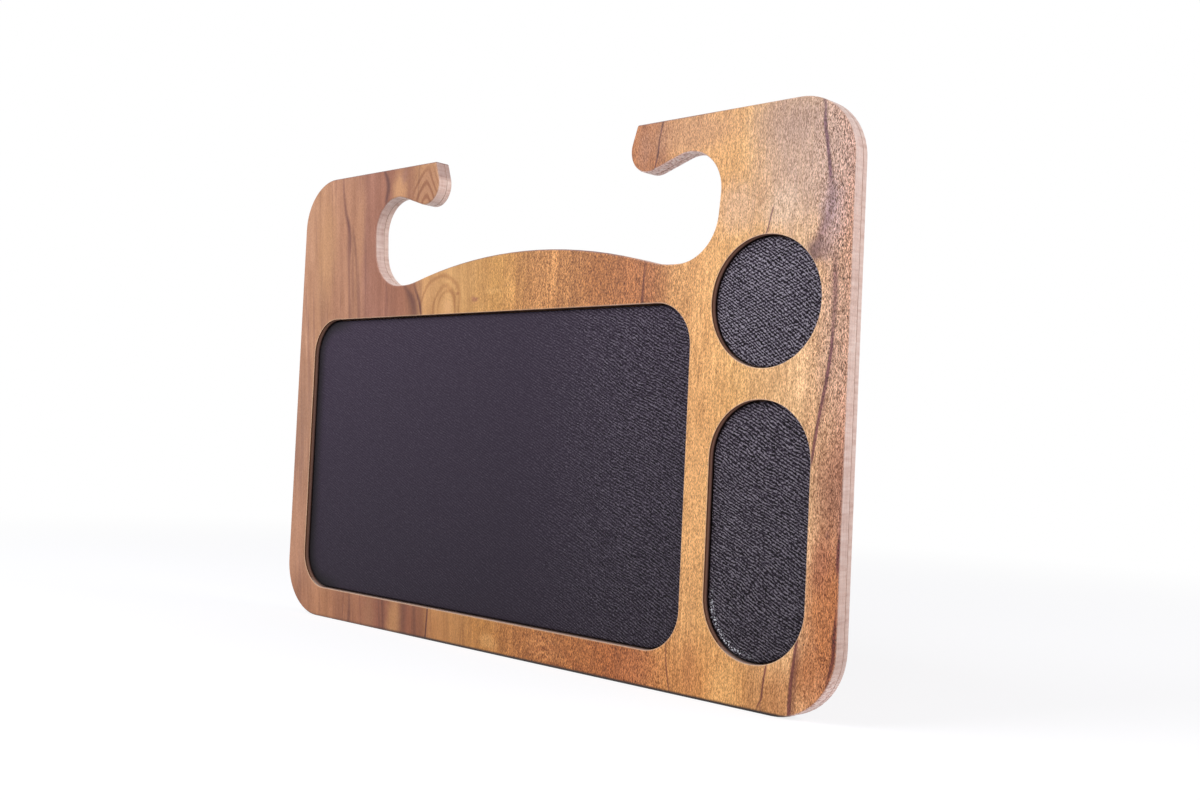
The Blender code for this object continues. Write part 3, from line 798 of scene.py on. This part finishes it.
def walk(half_width, half_height, radius, count):
    """Evenly spaced points round a rounded rectangle, from its right side up, each with the way out."""
    flat_x, flat_z = half_width - radius, half_height - radius
    arc = math.pi * radius / 2
    curve, top, side = (arc, "arc"), (2 * flat_x, "line"), (2 * flat_z, "line")
    half_side = flat_z, "line"
    stretches = [half_side, curve, top, curve, side, curve, top, curve, half_side]
    starts = [(half_width, 0), (flat_x, flat_z), (flat_x, half_height), (-flat_x, flat_z),
              (-half_width, flat_z), (-flat_x, -flat_z), (-flat_x, -half_height), (flat_x, -flat_z),
              (half_width, -flat_z)]
    total = sum(length for length, _ in stretches)
    points = []
    for index in range(count):
        along = total * index / count
        quarter = 0
        for (length, kind), start in zip(stretches, starts):
            if along <= length:
                break
            along -= length
            quarter += kind == "arc"
        turned = math.radians(90) * quarter + (along / radius if kind == "arc" else 0)
        outward = Vector((math.cos(turned), math.sin(turned)))
        if kind == "arc":
            points.append((Vector(start) + outward * radius, outward))
        else:
            forward = Vector((-outward.y, outward.x))
            points.append((Vector(start) + forward * along, outward))
    return points


print("the points round a pad are", 1000 * STEP, "mm apart")

# %% [markdown]
# Three small functions shape the leather. The first gives the puckers: ripples along the rim that die
# out within a few millimetres, strong only where a pad's row in the list of covers says so. The
# second gives the slow unevenness of a glued hide, and the third the rise just inside the rim. The
# first two use Blender's own noise, which gives the same values each run. The last number of the place
# where it is read differs from use to use, so that each use has a noise of its own.

# %% The form of the leather
PUCKER_LENGTH = 0.0023       # metres from one ripple to the next
PUCKER_WANDER, PUCKER_SHIFT = 0.004, 5.2 # how soon and how far the ripples fall out of step
PUCKER_DEPTH, PUCKER_REACH = 0.00045, 0.0030
CRUMPLE_SIZE = 0.0012
RIPPLED, CRUMPLED = 0.55, 0.8            # how much of each a pucker has
UNEVEN, BROAD_SIZE, FINE_SIZE = 0.00007, 0.045, 0.012
FINE_SHARE = 0.35            # of the fine unevenness beside the broad one
LIFT = 0.00022               # how proud the leather lies just inside its rim
LIFT_RISE, LIFT_FALL = 0.0010, 0.0060    # how far in it rises, and settles again
LIFT_KEPT = 0.35             # the share of the lift that stays in the middle


def pucker(place, along, inset, strength):
    """How far a ripple near the rim pushes the leather back at this point."""
    shift = PUCKER_SHIFT * noise.noise(Vector((along / PUCKER_WANDER, 3.0, 0.0)))
    ripple = math.sin(2 * math.pi * along / PUCKER_LENGTH + shift)
    crumple = noise.noise(Vector((place.x / CRUMPLE_SIZE, place.y / CRUMPLE_SIZE, 8.0)))
    fading = math.exp(-(inset / PUCKER_REACH) ** 2)
    return strength * PUCKER_DEPTH * fading * (RIPPLED * ripple + CRUMPLED * crumple)


def unevenness(place):
    """The slow rise and fall of the leather over its board."""
    broad = noise.noise(Vector((place.x / BROAD_SIZE, place.y / BROAD_SIZE, 1.0)))
    fine = noise.noise(Vector((place.x / FINE_SIZE, place.y / FINE_SIZE, 5.0)))
    return UNEVEN * (broad + FINE_SHARE * fine)


def crown(inset):
    """How proud the face lies: rising from the turned rim, then settling to the flat."""
    rise = 1 - math.exp(-inset / LIFT_RISE)
    return LIFT * rise * (LIFT_KEPT + (1 - LIFT_KEPT) * math.exp(-inset / LIFT_FALL))


print("3 mm inside its rim the leather lies", round(1000 * crown(0.003), 2), "mm proud")

# %% Build one cover in rings
LEATHER_THICKNESS = 0.0010
TURN_RADIUS = 0.0009
TURN_STEPS, PLAIN_STEPS = 6, 2           # the first steps round the turn keep their plain form
NEAR_RIM = [0.0003 * step for step in range(1, 13)]
MIDDLE_SHARES, CROWDING = 30, 1.15       # the rings stand a little closer towards the rim
HIDDEN_SHARE = 0.9           # how far in the hidden side is closed


def leather_cover(name, radius, material, pucker_at):
    """A leather cover in the place of one CAD solid, closed round its back edge and inside."""
    low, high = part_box(name)
    middle = Vector(((low.x + high.x) / 2, (low.z + high.z) / 2))
    half_width, half_height = (high.x - low.x) / 2, (high.z - low.z) / 2
    face, back = low.y, high.y
    count = 2 * round((4 * (half_width + half_height) - (8 - 2 * math.pi) * radius) / STEP / 2)
    rim = walk(half_width, half_height, radius, count)
    bone_x = max(half_width - half_height, 0.0)
    bone_z = max(half_height - half_width, 0.0)
    bones = [Vector((max(-bone_x, min(bone_x, point.x)), max(-bone_z, min(bone_z, point.y))))
             for point, _ in rim]

    build = bmesh.new()

    def ring(inset, depth, share=0.0, shaped=True):
        corners = []
        for index, ((point, outward), bone) in enumerate(zip(rim, bones)):
            place = (point - outward * inset).lerp(bone, share)
            y = depth
            if shaped:
                from_rim = (point - place).length
                strength = pucker_at(Vector((point.x / half_width, point.y / half_height)))
                y += pucker(place, index * STEP, from_rim, strength)
                y += unevenness(place + middle) - crown(from_rim)
            corners.append(build.verts.new((place.x + middle.x, y, place.y + middle.y)))
        return corners

    def join(first, second):
        for index in range(count):
            build.faces.new((first[index - 1], first[index], second[index], second[index - 1]))

    def close(corners):
        half = count // 2
        if bone_z > 0:
            corners = corners[count // 4:] + corners[:count // 4]
        build.faces.new((corners[0], corners[1], corners[-1]))
        for index in range(1, half - 1):
            build.faces.new((corners[index], corners[index + 1], corners[-index - 1], corners[-index]))
        build.faces.new((corners[half - 1], corners[half], corners[half + 1]))

    rings = [ring(0.0, back, shaped=False), ring(0.0, (back + face + TURN_RADIUS) / 2, shaped=False)]
    for step in range(TURN_STEPS + 1):
        angle = math.radians(90) * step / TURN_STEPS
        inset, depth = TURN_RADIUS * (1 - math.cos(angle)), face + TURN_RADIUS * (1 - math.sin(angle))
        rings.append(ring(inset, depth, shaped=step > PLAIN_STEPS))
    rings += [ring(TURN_RADIUS + extra, face) for extra in NEAR_RIM]
    innermost = TURN_RADIUS + NEAR_RIM[-1]
    for step in range(1, MIDDLE_SHARES):
        rings.append(ring(innermost, face, 1 - (1 - step / MIDDLE_SHARES) ** CROWDING))
    for first, second in zip(rings, rings[1:]):
        join(first, second)
    close(rings[-1])
    hidden = [rings[0], ring(LEATHER_THICKNESS, back, shaped=False),
              ring(LEATHER_THICKNESS, face + LEATHER_THICKNESS, shaped=False),
              ring(LEATHER_THICKNESS, face + LEATHER_THICKNESS, HIDDEN_SHARE, shaped=False)]
    for first, second in zip(hidden, hidden[1:]):
        join(first, second)
    close(hidden[-1])

    bmesh.ops.recalc_face_normals(build, faces=build.faces)
    mesh = bpy.data.meshes.new(name + "_pebbled")
    build.to_mesh(mesh)
    build.free()
    mesh.shade_smooth()
    mesh.materials.append(material)
    made = add_object(name + "_pebbled", mesh)
    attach(made, "root")
    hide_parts(name)
    print(made.name, "has", len(mesh.polygons), "faces round", count, "points")
    return made


print("rings beside the rim, and rings in the middle:", len(NEAR_RIM), MIDDLE_SHARES - 1)

# %% [markdown]
# ## Pebbled leather
#
# The covers are corrected-grain leather: a hide that was dyed nearly black with a hint of aubergine
# and embossed with a fine pebble grain while its finish was soft. The pebbles are about 1 mm long
# and about half as wide. They stand in wavy rows about 1.5 mm apart, and fainter rows cross these,
# clearest on the cup's pad. The finish coat is thin, with an index of refraction of 1.45. The
# tops of the pebbles are smooth and the creases stay dull. The tops are painted lighter, as a painted
# highlight, and the creases darker, as painted shade.
#
# Round cells would look like fish scales. Noise that is stretched along the rows gives the pebbles,
# and two sets of waves under it, with their phase shaken by noise, give rows that keep their spacing
# and still wander, as an embossed grain does. The large pad was drawn tight towards the left, which
# flattens its grain there. By its left wall it is darkened with painted shade. All the pads are
# painted a little lighter higher up, as painted light from above, and the large pad also towards the
# left, as a painted sheen. Round the foot of the long pad the gathered leather is painted with a
# chain of pale dots, painted glints where the puckers catch the light.

# %% Rows and pebbles
ROW_SPACING, CROSS_SPACING = 1.45, 1.60  # millimetres
ROW_SHARE = 0.50             # how clear the rows are
CROSS_TURN = 55.0            # degrees between the rows and the fainter ones across them
CROSS_SEED = 7.3
ROW_PHASE = 1.6              # how many rows the noise shifts the waves by
ROW_SCALE = 1 / 6.0, 0.1, 1 / 3.2        # one over the size of that noise along each axis
ROW_SWAY, SWAY_SIZE = (5.0, 0.0, 5.0), 34.0            # millimetres
PEBBLE_WIDTH, PEBBLE_SHARE = 0.43, 3.6
PATCH_SCALE, PATCHINESS = 0.45, (0.35, 0.65, 0.7, 1.3)


def wavy_rows(put, place, turn, spacing, share, seed):
    """One set of waves across the leather, with its rows this far apart."""
    turned = put("VectorRotate", {"Vector": place, "Angle": math.radians(turn)},
                 rotation_type="Y_AXIS")
    phase = noise_at(put, turned, ROW_SCALE, (seed,) * 3, Detail=1.0)
    shift = put("Math MULTIPLY", [phase, 2 * math.pi * ROW_PHASE])
    across = put("SeparateXYZ", [turned], output="Z")
    angle = put("Math MULTIPLY_ADD", [across, 2 * math.pi / spacing, shift])
    return put("Math MULTIPLY", [put("Math SINE", [angle]), share])


def pebble_height(put, place, slope, pebble_length, crossed, seed):
    """The height of the grain, from its rows, the rows across them and the pebbles in them."""
    swayed = strayed(put, place, 1 / SWAY_SIZE, 0.0, ROW_SWAY, seed)
    height = 0.0
    for turn, spacing, share, offset in [(0.0, ROW_SPACING, ROW_SHARE, 0.0),
                                         (CROSS_TURN, CROSS_SPACING, crossed, CROSS_SEED)]:
        turn = slope - math.copysign(turn, slope)
        rows = wavy_rows(put, swayed, turn, spacing, share, seed + offset)
        height = put("Math ADD", [rows, height])
    turned = put("VectorRotate", {"Vector": swayed, "Angle": math.radians(slope)},
                 rotation_type="Y_AXIS")
    pebbles = stretched(put, turned, pebble_length, PEBBLE_WIDTH, seed + 51, Detail=1.0)
    pebbles = put("Math SUBTRACT", [pebbles, 0.5])
    height = put("Math MULTIPLY_ADD", [pebbles, PEBBLE_SHARE, height])
    patchy = put("TexNoise", {"Vector": place, "Scale": PATCH_SCALE, "Detail": 1.0})
    return put("Math MULTIPLY", [height, put("MapRange", [patchy, *PATCHINESS])])


print("rows and cross rows in millimetres:", ROW_SPACING, CROSS_SPACING)

# %% Pebbled leather
# painted shade in the creases; each cover gives the painted highlight of its pebble tops
CREASE_SHADE, DYE = "#0A080C", "#291F30"
GRAIN_GAIN = 1.35
TIGHT_GRAIN = 0.12, 1.0      # what is left of the grain where it is tight, and where it is full
PEBBLE_RELIEF = 0.00030      # metres
PAINTED_LIGHT_UP = 20.0, 200.0, 0.66, 1.26       # along z: painted light, lighter higher up
PAINTED_SHEEN_LEFT = -180.0, -20.0, 1.14, 0.98  # along x: painted sheen, lighter to the left
WALL_SHADE = -11.0, -1.5, 1.0, 0.20        # painted shade by the wall, by distance from the outline
WALL_SHADE_LEFT = -172.0, -155.0, 1.0, 0.0
GLOSS = 0.1, 0.9, 0.95, 0.45             # the roughness of a crease and of a top
# painted highlights: a chain of glints on the gathered leather round the long pad's foot
GLINT_COLOUR, GLINT_SIZE, GLINT_LEVELS = "#E6EBF5", 0.9, (0.57, 0.67)
GLINT_INSET, GLINT_REACH = 2.7, (0.5, 1.5, 1.0, 0.0)   # millimetres inside the pocket's outline
GLINT_CORE = 0.35            # the share of their ellipse where the painted glints are full


def pebbled_leather(name, seed, slope, pebble_length, crossed, tightness, highlit_tops, gathered):
    """Black pebbled leather as one row of the list of covers describes it."""
    made, put = start_material(name)
    place = put("VectorMath MULTIPLY", [put("TexCoord", output="Object"), MILLIMETRES])
    x, z = put("SeparateXYZ", [place], output="XZ")
    height = pebble_height(put, place, slope, pebble_length, crossed, seed)
    grain = put("MapRange SMOOTHSTEP", [x, *tightness, *TIGHT_GRAIN])
    half_swing = put("Math MULTIPLY", [grain, 0.5 * GRAIN_GAIN])
    tone = put("Math MULTIPLY_ADD", [height, half_swing, 0.5])
    relief = put("Bump", {"Strength": 1.0, "Distance": PEBBLE_RELIEF, "Height": tone})
    # painted shade in the creases, painted highlight on the tops
    colour = put("ValToRGB", [tone], stops=[(0.05, CREASE_SHADE), (0.50, DYE), (1.0, highlit_tops)])
    # painted light from above, and a painted sheen on the left of the large pad
    for factor in (put("MapRange", [z, *PAINTED_LIGHT_UP]), put("MapRange", [x, *PAINTED_SHEEN_LEFT])):
        colour = put("VectorMath SCALE", [colour, factor])
    # painted shade on the large pad's leather beside its left wall
    outline = pocket_distance(put, place)
    shaded = put("VectorMath SCALE", [colour, put("MapRange SMOOTHSTEP", [outline, *WALL_SHADE])])
    leftmost = put("MapRange", [x, *WALL_SHADE_LEFT])
    colour = put("Mix", [leftmost, colour, shaded])
    # painted glints along the puckered rim of the long pad
    if gathered:
        from_chain = put("Math ABSOLUTE", [put("Math ADD", [outline, GLINT_INSET])])
        near_chain = put("MapRange", [from_chain, *GLINT_REACH])
        dots = put("TexNoise", {"Vector": place, "Scale": 1 / GLINT_SIZE, "Detail": 0.0})
        dots = put("MapRange SMOOTHSTEP", [dots, *GLINT_LEVELS])
        glints = put("Math MULTIPLY", [near_chain, soft_ellipse(put, place, gathered, GLINT_CORE)])
        glints = put("Math MULTIPLY", [glints, dots])
        colour = put("Mix", [glints, colour, GLINT_COLOUR])
    gloss = put("MapRange", [tone, *GLOSS])
    shader = put("BsdfPrincipled", {"Base Color": colour, "Roughness": gloss, "IOR": 1.45,
                                    "Specular IOR Level": 0.28, "Normal": relief})
    put("OutputMaterial", [shader])
    return made


# %% [markdown]
# Each cover then has one row in a list. The cover of the long pad puckers strongly from its left side
# round its lower end, where the leather was gathered, and the others pucker a little all round.

# %% The three covers
GATHERED_SIDE = Vector((-0.45, -0.9)).normalized()
GATHERED_FROM, GATHERED_SPAN = 0.45, 0.4 # how far towards that side the gathering begins and grows
FULL_GRAIN = -900.0, -800.0  # both places lie left of every pad, so its grain is full all over
COVERS = [
    # node, corner radius in metres, strength of the puckers and how much the gathering adds, the rows'
    # slope in degrees, pebble length, clearness of the rows across, the places where the grain is tight
    # and where it is full, painted highlight of the tops, and the ellipse of the painted glints
    ("tray_leather", 0.0215, 0.25, 0.0, (-24.0, 1.05, 0.14, (-8.0, 150.0), "#6B6373", None)),
    ("cup_leather", 0.0304, 0.25, 0.0, (-36.0, 0.80, 0.36, FULL_GRAIN, "#9D97A7", None)),
    ("phone_leather", 0.0275, 0.3, 1.1, (-25.0, 1.05, 0.14, FULL_GRAIN, "#8F8897", (145, 32, 24, 26))),
]


def pucker_strength(place, even, added):
    """How strongly the leather puckers at a place that counts -1 to 1 across the pad and up it."""
    gathered = (place.dot(GATHERED_SIDE) - GATHERED_FROM) / GATHERED_SPAN
    return even + added * max(0.0, min(1.0, gathered))


for seed, (name, radius, even, added, grain_looks) in enumerate(COVERS):
    leather = pebbled_leather("pebbled_black_" + name, 10.0 * seed, *grain_looks)
    leather_cover(name, radius, leather, partial(pucker_strength, even=even, added=added))

# %% [markdown]
# ## What lies under the leather
#
# The core of each pad is grey pulp board, pressed from waste paper: dull, with fibres and specks.
# Under it lies a milky double-sided adhesive sheet. The leather hides both, and they get finishes
# all the same, because the parts may be looked at apart.

# %% Pulp board and adhesive sheet
pulp_board = plain_finish("grey_pulp_board", 900.0, 3.0,
                          [(0.25, "#6F6960"), (0.5, "#8D877C"), (0.75, "#A49D91")],
                          relief=0.0001, Roughness=0.92)
adhesive_sheet = plain_finish("milky_adhesive_sheet", 140.0, 2.0, [(0.3, "#D2CABA"), (0.7, "#E3DDD0")],
                              Roughness=0.35, IOR=1.48)
hidden_layers = {"core": pulp_board, "adhesive": adhesive_sheet}
for pocket in ("tray", "cup", "phone"):
    for layer, finish in hidden_layers.items():
        mesh = nodes[f"{pocket}_{layer}"].data
        mesh.materials.clear()
        mesh.materials.append(finish)
print("finished under each pad:", *hidden_layers)

# %% [markdown]
# ## The studio
#
# The desk stands on white paper in front of white. Two things make the white: the world and the far
# floor show as plain white to the camera, while near the desk the floor is a real white surface that
# takes its soft shadow. For the light that falls on it, all of the floor is real white paper, which
# throws light back under the hooks. A large soft light stands in front, to the left and high, with a
# small one under it. A third skims the face from the right and reaches into the pockets, as far as
# their left walls. The last stands behind and to the right, and lights only the edges that face it,
# which is why they look so pale.

# %% Floor and world
HALF_FLOOR = 3.0             # metres
SHADOW_NEAR, SHADOW_FAR = 0.45, 1.1      # shadow up to the first, plain white beyond the second
WHITE = "#FFFFFF"
PAPER, SHADED_PAPER, SHADED_GLOW = "#CFCFD0", "#8A8B92", 0.80
ROOM_LIGHT, SEEN_LIGHT = 0.21, 1.0


def lit_or_seen(put, lighting, shown):
    """One shader that lights the desk, and another that is seen, also in a mirror or through glass."""
    seen, mirrored, through = (put("LightPath", output=f"Is {ray} Ray")
                               for ray in ("Camera", "Glossy", "Transmission"))
    either = put("Math MAXIMUM", [put("Math MAXIMUM", [seen, mirrored]), through])
    return put("MixShader", [either, lighting, shown])


paper, put = start_material("white_backdrop_paper")
spot_on_floor = put("TexCoord", output="Object")
away_from_desk = put("VectorMath LENGTH", [spot_on_floor], output="Value")
far_share = put("MapRange SMOOTHSTEP", [away_from_desk, SHADOW_NEAR, SHADOW_FAR])
tooth = put("TexNoise", {"Vector": spot_on_floor, "Scale": 500.0, "Detail": 2.0})
paper_relief = put("Bump", {"Strength": 0.15, "Distance": 0.0001, "Height": tooth})
lit, half_lit = (put("BsdfDiffuse", {"Color": tone, "Normal": paper_relief})
                 for tone in (PAPER, SHADED_PAPER))
glow, plain_white = (put("Emission", {"Color": WHITE, "Strength": level})
                     for level in (SHADED_GLOW, SEEN_LIGHT))
shadowed = put("AddShader", [half_lit, glow])
for_camera = put("MixShader", [far_share, shadowed, plain_white])
put("OutputMaterial", [lit_or_seen(put, lit, for_camera)])

floor_mesh = bpy.data.meshes.new("floor")
corners = [(x * HALF_FLOOR, y * HALF_FLOOR, 0) for x, y in ((-1, -1), (1, -1), (1, 1), (-1, 1))]
floor_mesh.from_pydata(corners, [], [(0, 1, 2, 3)])
floor_mesh.materials.append(paper)
floor = add_object("floor", floor_mesh)
floor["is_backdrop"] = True

world = bpy.data.worlds.new("studio")
world.use_nodes = True
world.node_tree.nodes.clear()
put = partial(add_node, world.node_tree)
room, backdrop = (put("Background", {"Color": WHITE, "Strength": level})
                  for level in (ROOM_LIGHT, SEEN_LIGHT))
put("OutputWorld", [lit_or_seen(put, room, backdrop)])
bpy.context.scene.world = world
print("the floor is", 2 * HALF_FLOOR, "m wide, and its shadows end", SHADOW_FAR, "m from the desk")

# %% Lights
LIGHTS = [
    # name, place, aim, size of its side in metres, power in watts, colour
    ("key_light", (-0.45, -1.00, 0.95), (0.0, 0.0, 0.16), 0.75, 11.7, "#FFFDFA"),
    ("window_light", (-0.45, -0.96, 0.51), (0.19, 0.0, 0.25), 0.35, 1.75, "#F8F8FF"),
    ("side_light", (2.00, -0.52, 0.50), (0.0, 0.0, 0.15), 0.90, 10.4, "#FFFAF6"),
    ("edge_light", (1.50, 0.38, 0.85), (0.05, 0.0, 0.18), 0.85, 11.5, "#FFF9F7"),
]
for name, place, aim, side, power, colour in LIGHTS:
    lamp = bpy.data.lights.new(name, "AREA")
    lamp.size = side
    lamp.energy = power
    lamp.color = linear(colour)[:3]
    softbox = add_object(name, lamp)
    softbox.location = place
    softbox.rotation_euler = (Vector(aim) - Vector(place)).to_track_quat("-Z", "Y").to_euler()
print("lights:", [row[0] for row in LIGHTS])

# %% [markdown]
# ## The camera
#
# The picture was taken from the right, at about 43 degrees to the face and just below the middle of
# the desk's height, so the upright edges lean very little. The place, the turn and the focal length
# were worked out from the desk's own straight edges.

# %% Camera and colour management
camera_data = bpy.data.cameras.new("camera")
camera_data.sensor_width = 36.0
camera_data.lens = 38.4
camera_data.clip_start = 0.01
camera = add_object("camera", camera_data)
camera.location = (0.51267, -0.48208, 0.12064)
camera.rotation_euler = [math.radians(angle) for angle in (91.738, -2.637, 43.195)]
bpy.context.scene.camera = camera
bpy.context.scene.view_settings.view_transform = "Standard"
to_desk = camera.location - Vector((0, 0, 0.14))
print("the camera is", round(to_desk.length, 3), "m from the middle of the desk")

# %% [markdown]
# ## Last checks
#
# The box round the dressed desk is set beside the imported one, and the largest difference between
# them is printed. The dressed desk may not be larger than the imported one.

# %% Compare the sizes and finish
shown_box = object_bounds()
boxes = {"cad": [list(corner) for corner in cad_box], "visual": [list(corner) for corner in shown_box]}
differences = [abs(a - b) for cad, shown in zip(boxes["cad"], boxes["visual"])
               for a, b in zip(cad, shown)]
print("largest difference in millimetres:", round(1000 * max(differences), 3))
